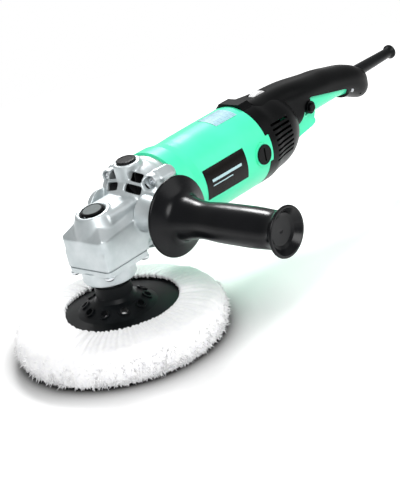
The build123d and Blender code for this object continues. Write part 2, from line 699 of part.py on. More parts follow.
def cooling_fan():
    hub = rod_x(9.0, 54, 68) - rod_x(5.5, 50, 70)
    plate = turned_x([(66, 8.5), (66, 29.5), (67.6, 29.5), (68, 8.5)])
    fan = hub + plate
    blade = block(54.5, 66.4, -0.8, 0.8, MOTOR_Z + 8.6, MOTOR_Z + 29.0)
    for i in range(11):
        fan = fan + Pos(0, 0, MOTOR_Z) * Rot(i * 360 / 11, 0, 0) * Pos(0, 0, -MOTOR_Z) * blade
    return fan


def brush_holders():
    tube = block(BRUSH_X - 5.2, BRUSH_X + 5.2, 14.5, 34.0, MOTOR_Z - 4.2, MOTOR_Z + 4.2)
    tube = tube - block(BRUSH_X - 4.2, BRUSH_X + 4.2, 14, 35, MOTOR_Z - 3.2, MOTOR_Z + 3.2)
    tube = tube + (rod_y(8.15, 31.0, 34.0, BRUSH_X, MOTOR_Z)
                   - block(BRUSH_X - 4.2, BRUSH_X + 4.2, 14, 35, MOTOR_Z - 3.2, MOTOR_Z + 3.2))
    return pair(tube)


def carbon_brushes():
    brush = block(BRUSH_X - 4.1, BRUSH_X + 4.1, 10, 25.5, MOTOR_Z - 3.1, MOTOR_Z + 3.1)
    return pair(brush - rod_x(COMMUTATOR_R + 0.1, 170, 195))


def brush_springs():
    spring = Pos(BRUSH_X, 25.9, MOTOR_Z) * Rot(-90, 0, 0) * coil_spring(2.3, 0.35, 7.4, 6)
    return pair(spring)


def brush_caps():
    cap = rod_y(BRUSH_CAP_R, 41.5, BRUSH_CAP_FACE + 0.6, BRUSH_X, MOTOR_Z)
    cap = cap + rod_y(8.1, 34.1, 41.6, BRUSH_X, MOTOR_Z)
    cap = fillet(cap.edges().group_by(Axis.Y)[-1], 0.5)
    slot = block(BRUSH_X - 0.9, BRUSH_X + 0.9, BRUSH_CAP_FACE - 1.2, 50, MOTOR_Z - 6.5, MOTOR_Z + 6.5)
    return pair(cap - slot)


def curved_label(x0, x1, a0, a1, clearance=0.03, thickness=0.35):
    """Sticker that follows the motor housing from angle a0 to a1; 0 points up, 90 to -Y."""
    base = sector_x(20, 60, (a0 + a1) / 2, a1 - a0, x0, x1)
    outer = [(98, 39.4), (106, 39.3), (122, 39.9), (150, 40.3), (MOTOR_REAR, MOTOR_R)]
    skin = turned_x([*[(x, r + clearance + thickness) for x, r in outer],
                     *[(x, r + clearance) for x, r in outer[::-1]]])
    return base & skin


def side_label():
    return curved_label(100.5, 156.5, 67.5, 108.5)


def rating_label():
    return curved_label(151, 181, -8, 24)


# ---------------------------------------------------------------- rear housing and handle
def handle_body(inset):
    """Bar handle lofted along X; inset shrinks each section evenly."""
    sections = []
    for x, top, bottom, half in HANDLE_SECTIONS:
        height = top - bottom - 2 * inset
        width = 2 * (half - inset)
        corner = min(15.0, half - 2.5) - inset
        plane = Plane(origin=(x, 0, (top + bottom) / 2), x_dir=(0, 1, 0), z_dir=(1, 0, 0))
        sections.append(plane * RectangleRounded(width, height, corner))
    return loft(sections)


def rear_bell(inset):
    """Round cap behind the motor that closes down towards the handle."""
    with BuildSketch(Plane.XZ) as section:
        with BuildLine():
            Line((190, 0), (190, 40.6 - inset))
            Line((190, 40.6 - inset), (202, 40.6 - inset))
            Spline((202, 40.6 - inset), (213, 38.8 - inset), (234, 36.0 - inset),
                   (247, 31.2 - inset), (256 - inset * 0.6, 24.0 - inset), (261 - inset, 13.0),
                   tangents=((1, 0), (0.1, -1)))
            Polyline((261 - inset, 13.0), (261 - inset, 0), (190, 0))
        make_face()
    return Pos(0, 0, MOTOR_Z) * revolve(section.sketch, Axis.X)


def trigger_opening(grow):
    """Side view of the part of the handle that the trigger takes up."""
    return [(262.4, 80), (262.4, 97 + grow), (270.5, 109.5 + grow), (275.5, 119.5 + grow),
            (280, 124.0 + grow), (286, 124.0 + grow), (345, 110.4 + grow), (350.4, 107.6 + grow),
            (352.5, 103 + grow), (352.5, 80)]


def handle_shells():
    outer = rear_bell(0) + handle_body(0)
    lip = block(190, 204, -16, 16, 140, 150.6)
    lip = chamfer(lip.edges().filter_by(Axis.X).group_by(Axis.Z)[-1], 4.5)
    outer = outer + lip
    ear = rod_y(LOCK_ON_EAR_R, LOCK_ON_FACE, -18.5, *LOCK_ON)
    ear = ear + block(LOCK_ON[0] - 3, LOCK_ON[0] + 3, -20.8, -18.5, LOCK_ON[1] + 3, 127)
    inner = rear_bell(SKIN) + (handle_body(SKIN) - block(378.5, 400, -30, 30, 80, 140))
    shell = outer - inner - rod_x(37.4, 180, 201)
    shell = shell - prism_y(trigger_opening(0), -40, 40)
    shell = shell - block(262.4, 284, -15.3, 15.3, 80, 114)
    shell = shell + ear
    shell = shell - rod_y(LOCK_ON_HEAD_R + 0.08, -30, -19.3, *LOCK_ON) - rod_y(2.3, -30, -10, *LOCK_ON)
    shell = shell - rod_y(1.95, -17, 17, *TRIGGER_PIVOT)
    shell = shell - (turned_x([(186, 30), (186, 50), (194.8, 50), (194.8, 30)])
                     & block(180, 200, -60, 60, 96.7, 122.3))
    shell = shell - block(DIAL_X - 10.2, DIAL_X + 10.2, -DIAL_HALF - 0.6, DIAL_HALF + 0.6, 138, 160)
    for angle in (28, 20.8, 13.6, 6.4, -0.8, -8.0, -15.2, -22.4):
        for side in (-1, 1):
            slot = block(202.5, 232, 26, 46, -1.15, 1.15)
            cut = Pos(0, 0, MOTOR_Z) * Rot(angle, 0, 0) * slot
            shell = shell - (cut if side > 0 else mirrored(cut))
    shell = shell - rod_x(6.6, 370, 400, 0, GUARD_Z)
    envelope = inner_envelope()
    for x, z in HANDLE_SCREWS:
        shell = shell + (rod_y(4.0, -24, 24, x, z) & envelope)
    for z in CLAMP_SCREWS:
        shell = shell + (rod_y(3.4, -20, 0, CLAMP_X, z) & envelope) - rod_y(1.4, -12, 5, CLAMP_X, z)
    shell = shell + (guard_collar() & envelope) - rod_x(9.1, 374, 378.6, 0, GUARD_Z)
    for x, z in HANDLE_SCREWS:
        shell = shell - rod_y(1.7, -14, 40, x, z) - rod_y(3.6, 12, 40, x, z)
    return shell


def inner_envelope():
    return rear_bell(0.6) + handle_body(0.6)


def guard_collar():
    collar = rod_x(11.6, 371, 381, 0, GUARD_Z) - rod_x(9.1, 374, 378.6, 0, GUARD_Z)
    return collar - rod_x(6.6, 370, 400, 0, GUARD_Z)


def handle_screws():
    screw = Rot(-90, 0, 0) * pan_screw(3.4, 1.6, 24, 2.4)
    return Compound([s for x, z in HANDLE_SCREWS for s in (Pos(x, 12, z) * screw).solids()])


# ---------------------------------------------------------------- handle fittings
def cable_guard():
    outline = [(372.4, 3.6), (372.4, 6.5), (374.1, 6.5), (374.1, 9.0), (378.5, 9.0), (378.5, 6.5),
               (392, 6.4), (GUARD_END - 4.2, 5.2), (GUARD_END - 2.6, 6.4), (GUARD_END - 1.6, 7.4),
               (GUARD_END, 7.4), (GUARD_END, 5.2), (GUARD_END - 3, 3.6)]
    return turned_x(outline, GUARD_Z)


def cord_clamp():
    bar = block(CLAMP_X - 3.2, CLAMP_X + 3.2, 0, 6.2, CLAMP_SCREWS[0] - 3, CLAMP_SCREWS[1] + 3)
    bar = bar - rod_x(3.7, CLAMP_X - 5, CLAMP_X + 5, 0, GUARD_Z)
    for z in CLAMP_SCREWS:
        bar = bar - rod_y(1.6, 0, 8, CLAMP_X, z)
    return bar


def cord_clamp_screws():
    screw = Rot(-90, 0, 0) * pan_screw(2.6, 1.35, 14, 2.0)
    return Compound([s for z in CLAMP_SCREWS for s in (Pos(CLAMP_X, 6.2, z) * screw).solids()])


def speed_dial():
    wheel = rod_y(DIAL_R, -DIAL_HALF, DIAL_HALF, DIAL_X, DIAL_Z)
    wheel = fillet(wheel.edges().filter_by(GeomType.CIRCLE), 0.8)
    notch = rod_y(0.7, -9, 9, DIAL_X, DIAL_Z + DIAL_R + 0.25)
    place = Pos(DIAL_X, 0, DIAL_Z)
    wheel = wheel.cut(*[place * Rot(0, i * 15, 0) * place.inverse() * notch for i in range(24)])
    return wheel + rod_y(2.5, -6.5, 9.0, DIAL_X, DIAL_Z)


def control_module():
    board = block(212, 250, 11.0, 12.6, 112, 133)
    sensor = rod_y(5.0, 5.4, 11.0, DIAL_X, DIAL_Z) - rod_y(2.5 + RUNNING_FIT, 0, 9.6, DIAL_X, DIAL_Z)
    capacitor = rod_y(5.0, 12.6, 18.6, 222, 121)
    regulator = block(232, 243, 12.6, 16.8, 116, 128)
    return board + sensor + capacitor + regulator


def power_switch():
    case = block(SWITCH_X - 14, SWITCH_X + 14, -9, 9, 117, 130)
    case = fillet(case.edges().filter_by(Axis.Y), 1.2)
    for x in (SWITCH_X - 10, SWITCH_X + 10):
        case = case + block(x - 0.4, x + 0.4, -3, 3, 129, 133)
    return case - rod_z(2.5 + RUNNING_FIT, 110, 126, SWITCH_X)


def switch_plunger():
    return rod_z(2.5, PLUNGER_BOTTOM, 119.8, SWITCH_X)


def trigger_outline(grow):
    """Side view of the trigger with its hidden upper edge; grow shrinks or widens it."""
    return [(264.4 - grow, 84), (264.4 - grow, 108), (270 - grow, 120), (276, 125.4), (290, 125.0),
            (345, 113.4), (354, 110.6), (359.4 + grow, 107.6), (359.4 + grow, 84)]


def trigger_foot(inset):
    return [(264.4 + inset, 89.4 + inset), (289, 92.6 + inset), (293.6 - inset, 94.4 + inset),
            (294.8 - inset, 97.4), (293.4 - inset, 100.0), (296.4 - inset, 105.4), (264.4 + inset, 105.4)]


def trigger_paddle():
    skin = handle_body(TRIGGER_INSET) & prism_y(trigger_outline(0), -40, 40)
    core = handle_body(TRIGGER_INSET + TRIGGER_WALL)
    core = core & prism_y(trigger_outline(-TRIGGER_WALL), -40, 40)
    foot = prism_y(trigger_foot(0), -14.5, 14.5)
    foot = fillet(foot.edges().filter_by(Axis.Y).filter_by(lambda e: e.center().Z < 96), 1.2)
    body = skin + foot - core - prism_y(trigger_foot(TRIGGER_WALL), -12.5, 12.5)
    body = body - block(260, 292.4, -2.5, 2.5, 80, 101)
    rib = block(SWITCH_X - 1, SWITCH_X + 1, -6, 6, 101.8 + 1, PLUNGER_BOTTOM - 0.3)
    body = body + (rib & handle_body(TRIGGER_INSET + 0.5))
    slot = block(LOCK_ON[0] - 2.8, LOCK_ON[0] + 2.8, -30, 0, 107.2, 140)
    body = body - slot
    body = body - rod_y(1.95 + RUNNING_FIT, -30, 30, *TRIGGER_PIVOT)
    body = body - rod_y(1.2, -13.6, 13.6, *LEVER_PIVOT)
    return body


def trigger_pivot_pin():
    return rod_y(1.95, -17, 17, *TRIGGER_PIVOT)


def trigger_spring():
    return Pos(324, 0, 104.9) * coil_spring(3.4, 0.5, 19.4, 8)


def lock_on_button():
    head = rod_y(LOCK_ON_HEAD_R, LOCK_ON_FACE - 2.6, LOCK_ON_FACE + 0.6, *LOCK_ON)
    head = fillet(head.edges().group_by(Axis.Y)[0], 1.4)
    return head + rod_y(2.2, LOCK_ON_FACE, -10, *LOCK_ON)


def lock_on_spring():
    spring = coil_spring(3.6, 0.28, 2.1, 2)
    return Pos(LOCK_ON[0], -19.65, LOCK_ON[1]) * Rot(90, 0, 0) * spring


def lock_off_lever():
    px, pz = LEVER_PIVOT
    outline = [(263.8, 86.4), (266.4, 85.6), (273, 87.4), (283, 89.4), (287.4, 92.0), (px + 2.2, pz - 1.6),
               (px + 2.4, pz + 1), (px + 1, pz + 2.6), (px - 1.6, pz + 2.0), (px - 2.8, pz - 1.2),
               (282, 92.6), (274, 91.6), (268, 90.4)]
    pad = prism_y([(263.8, 85.4), (266.4, 84.8), (283, 88.4), (283, 89.8), (266.4, 86.8), (263.8, 87.0)], -8, 8)
    return prism_y(outline, -2.0, 2.0) + pad - rod_y(1.2 + RUNNING_FIT, -5, 5, *LEVER_PIVOT)


def lock_off_pin():
    return rod_y(1.2, -13.6, 13.6, *LEVER_PIVOT)


def lock_off_spring():
    return Pos(LEVER_PIVOT[0], 2.6, LEVER_PIVOT[1]) * Rot(-90, 0, 0) * coil_spring(1.75, 0.25, 2.6, 4)


# ---------------------------------------------------------------- side handle
def side_handle_grip():
    with BuildSketch(Plane.XY) as section:
        with BuildLine():
            Polyline((5.0, -SIDE_BOSS_Y), (13.4, -SIDE_BOSS_Y), (14.4, -SIDE_BOSS_Y - 1), (15.2, -66.5),
                     (18.0, -68.4), (32.6, -60.6), (33.6, -60.2))
            ThreePointArc((33.6, -60.2), (FLANGE_R, -61.7), (34.2, -63.4))
            Spline((34.2, -63.4), (27.0, -66.6), (20.6, -71.4), (18.4, -78), (15.9, -92), (16.5, -107),
                   (17.1, -129), (17.1, -150), (16.5, -163), (16.6, -170), (20.4, -178.2))
            ThreePointArc((20.4, -178.2), (21.8, -179.8), (20.8, -SIDE_END))
            Polyline((20.8, -SIDE_END), (19.4, -SIDE_END), (15.0, -175.6), (12.0, -174.4), (0, -174.0),
                     (0, -172.2), (8.8, -172.2), (8.8, -165.8), (5.0, -165.8), (5.0, -SIDE_BOSS_Y))
        make_face()
    grip = revolve(section.sketch, Axis.Y)
    return Pos(SIDE_X, 0, SIDE_Z) * grip


def side_handle_bolt():
    shank = rod_y(SIDE_THREAD_R - 0.02, -SIDE_BOSS_Y, -28, SIDE_X, SIDE_Z)
    shank = shank + rod_y(5.0, -166, -SIDE_BOSS_Y, SIDE_X, SIDE_Z)
    head = Pos(SIDE_X, -165.8, SIDE_Z) * Rot(90, 0, 0) * extrude(RegularPolygon(9.2, 6), 6.2)
    head = head & rod_y(8.8, -173, -165, SIDE_X, SIDE_Z)
    return shank + head


def build_handle():
    whole = handle_shells()
    for name, near, far in (("handle_shell_left", -60, 0), ("handle_shell_right", 0, 60)):
        keep(name, whole & block(180, 400, near, far, 50, 170))


def main():
    keep("wool_bonnet", wool_bonnet())
    keep("backing_pad", backing_pad())
    keep("pad_hub_nut", pad_hub_nut())
    keep("bonnet_drawcord", bonnet_drawcord())
    keep("spindle", spindle())
    keep("crown_gear", crown_gear())
    keep("crown_gear_circlip", crown_gear_circlip())
    keep("lower_spindle_bearing", lower_spindle_bearing())
    keep("upper_spindle_bush", upper_spindle_bush())
    keep("spindle_seal", spindle_seal())
    keep("gear_housing", gear_housing())
    keep("bearing_plate", bearing_plate())
    keep("gearbox_gasket", gearbox_gasket())
    keep("bearing_plate_screws", bearing_plate_screws())
    keep("gear_housing_screws", gear_housing_screws())
    keep("top_hole_plug", top_hole_plug())
    keep("spindle_lock_button", spindle_lock_button())
    keep("spindle_lock_cap", spindle_lock_cap())
    keep("spindle_lock_pin", spindle_lock_pin())
    keep("lock_button_spring", lock_button_spring())
    keep("motor_housing", motor_housing())
    keep("stator_core", stator_core())
    keep("field_coils", field_coils())
    keep("air_baffle", air_baffle())
    keep("armature_shaft", armature_shaft())
    keep("drive_pinion", drive_pinion())
    keep("pinion_nut", pinion_nut())
    keep("front_armature_bearing", front_armature_bearing())
    keep("front_bearing_retainer", front_bearing_retainer())
    keep("rear_armature_bearing", rear_armature_bearing())
    keep("armature_core", armature_core())
    keep("armature_windings", armature_windings())
    keep("commutator", commutator())
    keep("cooling_fan", cooling_fan())
    keep("brush_holders", brush_holders())
    keep("carbon_brushes", carbon_brushes())
    keep("brush_springs", brush_springs())
    keep("brush_caps", brush_caps())
    keep("side_label", side_label())
    keep("rating_label", rating_label())
    build_handle()
    keep("handle_screws", handle_screws())
    keep("cable_guard", cable_guard())
    keep("cord_clamp", cord_clamp())
    keep("cord_clamp_screws", cord_clamp_screws())
    keep("speed_dial", speed_dial())
    keep("control_module", control_module())
    keep("power_switch", power_switch())
    keep("switch_plunger", switch_plunger())
    keep("trigger_paddle", trigger_paddle())
    keep("trigger_pivot_pin", trigger_pivot_pin())
    keep("trigger_spring", trigger_spring())
    keep("lock_on_button", lock_on_button())
    keep("lock_on_spring", lock_on_spring())
    keep("lock_off_lever", lock_off_lever())
    keep("lock_off_pin", lock_off_pin())
    keep("lock_off_spring", lock_off_spring())
    keep("side_handle_grip", side_handle_grip())
    keep("side_handle_bolt", side_handle_bolt())

    os.makedirs("parts", exist_ok=True)
    for name, shape in NODES.items():
        export_step(shape, f"parts/{name}.step")
        print(name, round(shape.volume), len(shape.solids()), shape.is_valid)


main()
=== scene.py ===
import json
import math
import random

import bmesh
import bpy
from mathutils import Matrix, Vector, noise


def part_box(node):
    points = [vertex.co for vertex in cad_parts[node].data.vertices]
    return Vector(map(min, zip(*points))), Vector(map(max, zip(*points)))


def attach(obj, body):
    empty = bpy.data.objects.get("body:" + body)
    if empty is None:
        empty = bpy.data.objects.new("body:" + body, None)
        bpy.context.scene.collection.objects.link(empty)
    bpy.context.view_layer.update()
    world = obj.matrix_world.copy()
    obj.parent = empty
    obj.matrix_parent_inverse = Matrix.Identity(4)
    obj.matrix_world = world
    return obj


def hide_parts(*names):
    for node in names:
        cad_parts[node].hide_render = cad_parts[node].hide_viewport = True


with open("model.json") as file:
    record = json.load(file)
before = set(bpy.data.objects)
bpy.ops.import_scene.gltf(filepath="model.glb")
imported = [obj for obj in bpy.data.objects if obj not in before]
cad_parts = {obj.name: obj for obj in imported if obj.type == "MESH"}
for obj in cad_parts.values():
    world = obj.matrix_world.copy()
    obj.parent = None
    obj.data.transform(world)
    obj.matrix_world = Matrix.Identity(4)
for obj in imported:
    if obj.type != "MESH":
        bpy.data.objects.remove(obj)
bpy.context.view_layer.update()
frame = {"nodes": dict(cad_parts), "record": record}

MM = 0.001

# bonnet: shares of its radius or height, then lengths
OPENING_SHARE = 0.575     # radius of the gathered opening
RIM_SHARE = 0.86          # radius where the sole turns up into the belly
BELLY_SHARE = 0.14        # how far the belly stands out beyond that
BELLY_RISE = 0.47         # height of the widest place
LIP = 1.7 * MM            # radius of the rolled lip at the opening
LIP_REACH = 1.5 * MM      # from the opening to the middle of that roll
SKIN_STEPS = 600          # sections round the skin
LOCKS = 3600              # locks of wool on the rim
LOCK_REACH = 0.135        # how far out on the belly the locks are rooted
LOCK_SIDES = 3
LOCK_SEGMENTS = 3


# ---------------------------------------------------------------- colours and nodes
def tone(code):
    """sRGB hex to the linear colour that a shader takes."""
    channels = [int(code[i:i + 2], 16) / 255 for i in (1, 3, 5)]
    linear = [c / 12.92 if c <= 0.04045 else ((c + 0.055) / 1.055) ** 2.4 for c in channels]
    return (*linear, 1.0)


def add_node(tree, kind, settings=None, links=None):
    """Add a node, give it its settings, and link the sources to its sockets."""
    node = tree.nodes.new(kind)
    for key, value in (settings or {}).items():
        if isinstance(key, str) and hasattr(node, key):
            setattr(node, key, value)
        else:
            node.inputs[key].default_value = value
    for key, source in (links or {}).items():
        tree.links.new(source, node.inputs[key])
    return node


def new_material(name):
    """Empty node material with its shader and the object's own coordinates."""
    material = bpy.data.materials.new(name)
    material.use_nodes = True
    tree = material.node_tree
    tree.nodes.clear()
    shader = add_node(tree, "ShaderNodeBsdfPrincipled")
    add_node(tree, "ShaderNodeOutputMaterial", links={"Surface": shader.outputs["BSDF"]})
    place = add_node(tree, "ShaderNodeTexCoord").outputs["Object"]
    return material, tree, shader, place


def grain(tree, place, size_mm, detail=3.0):
    """Noise whose clumps are size_mm across."""
    return add_node(tree, "ShaderNodeTexNoise",
                    {"Scale": 1000.0 / size_mm, "Detail": detail, "Roughness": 0.55},
                    {"Vector": place}).outputs["Fac"]


def ramp(tree, source, low, high, dark, light):
    """Colour that runs from dark to light as the source goes from low to high."""
    node = add_node(tree, "ShaderNodeValToRGB", links={"Fac": source})
    node.color_ramp.elements[0].position = low
    node.color_ramp.elements[1].position = high
    node.color_ramp.elements[0].color = tone(dark)
    node.color_ramp.elements[1].color = tone(light)
    return node.outputs["Color"]


def spread(tree, source, low, high):
    """Map a 0 to 1 pattern onto a range."""
    return add_node(tree, "ShaderNodeMapRange", {"To Min": low, "To Max": high},
                    {"Value": source}).outputs["Result"]


def relief(tree, height, depth_mm, normal=None):
    """Bump of this depth from a 0 to 1 pattern."""
    links = {"Height": height}
    if normal is not None:
        links["Normal"] = normal
    return add_node(tree, "ShaderNodeBump", {"Strength": 1.0, "Distance": depth_mm * MM},
                    links).outputs["Normal"]


def plain_finish(name, dark, light, rough, patch_mm, grain_mm, depth_mm, metallic=0.0, shine=0.5):
    """Finish with slow colour drift, uneven gloss and a fine relief."""
    material, tree, shader, place = new_material(name)
    drift = grain(tree, place, patch_mm)
    fine = grain(tree, place, grain_mm)
    tree.links.new(ramp(tree, drift, 0.3, 0.7, dark, light), shader.inputs["Base Color"])
    tree.links.new(spread(tree, drift, rough[0], rough[1]), shader.inputs["Roughness"])
    tree.links.new(relief(tree, fine, depth_mm), shader.inputs["Normal"])
    shader.inputs["Metallic"].default_value = metallic
    shader.inputs["Specular IOR Level"].default_value = shine
    return material


# ---------------------------------------------------------------- finishes
def die_cast_aluminium():
    """Die-cast aluminium, shot blasted: an even silvery skin with a fine peened grain."""
    material, tree, shader, place = new_material("die_cast_aluminium")
    drift = grain(tree, place, 22)
    # the blasting's dimples are finer than this; drawn at 1.3 mm so that they show
    peened = grain(tree, place, 1.3, 4.0)
    tree.links.new(ramp(tree, drift, 0.25, 0.75, "#b4bec0", "#d4dadc"), shader.inputs["Base Color"])
    tree.links.new(spread(tree, peened, 0.34, 0.5), shader.inputs["Roughness"])
    tree.links.new(relief(tree, peened, 0.05), shader.inputs["Normal"])
    shader.inputs["Metallic"].default_value = 0.6
    return material


def wool_pile():
    """Clipped lambswool: soft clumps of crimped fibre that scatter light, with a felted sheen."""
    material, tree, shader, place = new_material("wool_pile")
    clumps = grain(tree, place, 5.0, 4.0)
    fibres = grain(tree, place, 1.4, 5.0)
    tree.links.new(ramp(tree, clumps, 0.3, 0.62, "#f6f6fa", "#ffffff"), shader.inputs["Base Color"])
    soft = relief(tree, clumps, 0.25)
    tree.links.new(relief(tree, fibres, 0.12, soft), shader.inputs["Normal"])
    shader.inputs["Roughness"].default_value = 0.95
    shader.inputs["Specular IOR Level"].default_value = 0.15
    shader.inputs["Sheen Weight"].default_value = 0.6
    shader.inputs["Sheen Roughness"].default_value = 0.6
    shader.inputs["Subsurface Weight"].default_value = 0.35
    shader.inputs["Subsurface Radius"].default_value = (0.004, 0.004, 0.004)
    shader.inputs["Subsurface Scale"].default_value = 1.0
    return material


def printed_side_film():
    """Gloss black vinyl label with two plain pale rules printed across it."""
    material, tree, shader, place = new_material("printed_side_film")
    low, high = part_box("side_label")
    parts = add_node(tree, "ShaderNodeSeparateXYZ", links={"Vector": place})
    rules = None
    for share, half_mm, start, end in ((0.56, 1.3, 0.14, 0.86), (0.40, 0.5, 0.14, 0.62)):
        level = low.z + (high.z - low.z) * share
        middle = low.x + (high.x - low.x) * (start + end) / 2
        reach = (high.x - low.x) * (end - start) / 2
        band = add_node(tree, "ShaderNodeMath", {"operation": "COMPARE", 1: level, 2: half_mm * MM},
                        {0: parts.outputs["Z"]}).outputs[0]
        stretch = add_node(tree, "ShaderNodeMath", {"operation": "COMPARE", 1: middle, 2: reach},
                           {0: parts.outputs["X"]}).outputs[0]
        rule = add_node(tree, "ShaderNodeMath", {"operation": "MULTIPLY"}, {0: band, 1: stretch}).outputs[0]
        if rules is not None:
            rule = add_node(tree, "ShaderNodeMath", {"operation": "MAXIMUM"}, {0: rules, 1: rule}).outputs[0]
        rules = rule
    tree.links.new(ramp(tree, rules, 0.4, 0.6, "#0d0907", "#b9d8dc"), shader.inputs["Base Color"])
    tree.links.new(spread(tree, grain(tree, place, 30), 0.22, 0.32), shader.inputs["Roughness"])
    shader.inputs["Specular IOR Level"].default_value = 0.15
    return material


def printed_rating_film():
    """Pale blue printed film with rows of short bars in place of any wording."""
    material, tree, shader, place = new_material("printed_rating_film")
    parts = add_node(tree, "ShaderNodeSeparateXYZ", links={"Vector": place})
    rows = add_node(tree, "ShaderNodeMath", {"operation": "PINGPONG", 1: 1.3 * MM},
                    {0: parts.outputs["X"]}).outputs[0]
    ink_row = add_node(tree, "ShaderNodeMath", {"operation": "LESS_THAN", 1: 0.5 * MM},
                       {0: rows}).outputs[0]
    words = add_node(tree, "ShaderNodeMath", {"operation": "GREATER_THAN", 1: 0.5},
                     {0: grain(tree, place, 3.2, 0.0)}).outputs[0]
    ink = add_node(tree, "ShaderNodeMath", {"operation": "MULTIPLY"}, {0: ink_row, 1: words}).outputs[0]
    tree.links.new(ramp(tree, ink, 0.4, 0.6, "#a3cdd9", "#86b2c1"), shader.inputs["Base Color"])
    tree.links.new(spread(tree, grain(tree, place, 25), 0.28, 0.4), shader.inputs["Roughness"])
    return material


def make_finishes():
    """Every finish, under the record's slot name."""
    return {
        # shot-blasted casting: soft silver light broken up by a fine grain
        "cast_aluminium": die_cast_aluminium(),
        # glossy injection-moulded ABS: saturated, with a faint orange peel
        "mint_abs": plain_finish("mint_moulded_abs", "#48eeb6", "#54f8c2",
                                 (0.3, 0.4), 40, 2.2, 0.015, shine=0.35),
        # glass-filled nylon with a spark-eroded texture: matt, dusty highlights
        "black_plastic": plain_finish("black_glass_filled_nylon", "#030405", "#070809",
                                      (0.3, 0.42), 25, 1.2, 0.02, shine=0.1),
        # polished nylon moulding: deep black with broad soft highlights
        "black_gloss": plain_finish("black_polished_nylon", "#060709", "#0c0d10",
                                    (0.2, 0.3), 30, 1.8, 0.01, shine=0.2),
        # spark-eroded ABS: dull grey, no clear highlight
        "grey_plastic": plain_finish("grey_moulded_abs", "#434c4c", "#586363",
                                     (0.45, 0.6), 6, 1.0, 0.03),
        # smooth moulded acetal: clean off-white with a low gloss
        "white_plastic": plain_finish("white_moulded_acetal", "#e8e9ea", "#f6f6f6",
                                      (0.35, 0.45), 8, 1.0, 0.01),
        # moulded natural rubber: dull, with a dry bloom on the surface
        "black_rubber": plain_finish("black_moulded_rubber", "#080a0b", "#101315",
                                     (0.28, 0.42), 14, 1.1, 0.02, shine=0.16),
        # clipped lambswool: soft white clumps with a felted sheen
        "wool": wool_pile(),
        # twisted cotton: dull cream with a coarse relief
        "cotton_cord": plain_finish("twisted_cotton", "#dedcd6", "#f1efe9",
                                    (0.85, 0.95), 3, 0.9, 0.15),
        # ground steel: bright, with slightly blurred reflections
        "steel": plain_finish("ground_steel", "#a7aaae", "#c2c5c9",
                              (0.25, 0.38), 6, 0.8, 0.01, metallic=1.0),
        # zinc plating: pale, bright and a little uneven
        "zinc_steel": plain_finish("zinc_plated_steel", "#c4c8cb", "#e0e3e6",
                                   (0.22, 0.36), 4, 0.8, 0.012, metallic=1.0),
        # hardened and oiled gear steel: dark reflections
        "dark_steel": plain_finish("hardened_gear_steel", "#5a5c60", "#74767a",
                                   (0.3, 0.42), 5, 0.8, 0.012, metallic=1.0),
        # varnished laminations: dull dark metal
        "silicon_steel": plain_finish("varnished_laminations", "#54565a", "#6b6d71",
                                      (0.4, 0.55), 4, 0.7, 0.03, metallic=1.0),
        # enamelled winding wire: warm red-brown, uneven gloss
        "copper": plain_finish("enamelled_copper", "#a5552f", "#c8713f",
                               (0.3, 0.42), 3, 0.8, 0.06, metallic=0.9),
        # oil-soaked sintered bronze: dull brown-gold with fine pores
        "bronze": plain_finish("sintered_bronze", "#8d6a3c", "#a9824e",
                               (0.4, 0.55), 2, 0.7, 0.03, metallic=1.0),
        # stamped brass: clear yellow reflections
        "brass": plain_finish("stamped_brass", "#b08f4a", "#cdaa60",
                              (0.28, 0.4), 4, 0.8, 0.01, metallic=1.0),
        # pressed carbon: near black and matt
        "carbon": plain_finish("pressed_carbon", "#1b1b1c", "#2a2a2b", (0.6, 0.75), 2, 0.7, 0.03),
        # compressed fibre sheet: matt grey
        "paper_gasket": plain_finish("grey_gasket_fibre", "#8b9496", "#a2aaac",
                                     (0.8, 0.9), 3, 0.9, 0.02),
        # plain black nylon: low, broad sheen
        "nylon": plain_finish("black_nylon", "#1c1d20", "#28292c", (0.45, 0.6), 10, 1.0, 0.03),
        # gloss vinyl film: black with two pale printed rules
        "label_black": printed_side_film(),
        # printed polyester film: pale blue with faint rows of marks
        "label_silver": printed_rating_film(),
    }


def dress(piece, material):
    """Give a piece one finish."""
    piece.data.materials.clear()
    piece.data.materials.append(material)


# ---------------------------------------------------------------- shells with moulded edges
def smooth_shading(piece, angle_deg=32):
    """Shade curved faces smooth and keep creases."""
    mesh = piece.data
    mesh.shade_smooth()
    mesh.set_sharp_from_angle(angle=math.radians(angle_deg))


def moulded(node, name, voxel_mm, rounds, body, slot, finishes):
    """Copy of a CAD shell whose sharp edges are rounded off as a mould or a casting leaves them."""
    piece = bpy.data.objects.new(name, frame["nodes"][node].data.copy())
    bpy.context.scene.collection.objects.link(piece)
    grid = piece.modifiers.new("even_grid", "REMESH")
    grid.mode = "VOXEL"
    grid.voxel_size = voxel_mm * MM
    soften = piece.modifiers.new("rounded_edges", "SMOOTH")
    soften.factor = 0.5
    soften.iterations = rounds
    view = bpy.context.evaluated_depsgraph_get()
    mesh = bpy.data.meshes.new_from_object(piece.evaluated_get(view))
    piece.modifiers.clear()
    piece.data = mesh
    mesh.name = name
    mesh.shade_smooth()
    dress(piece, finishes[slot])
    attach(piece, body)
    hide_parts(node)
    return piece


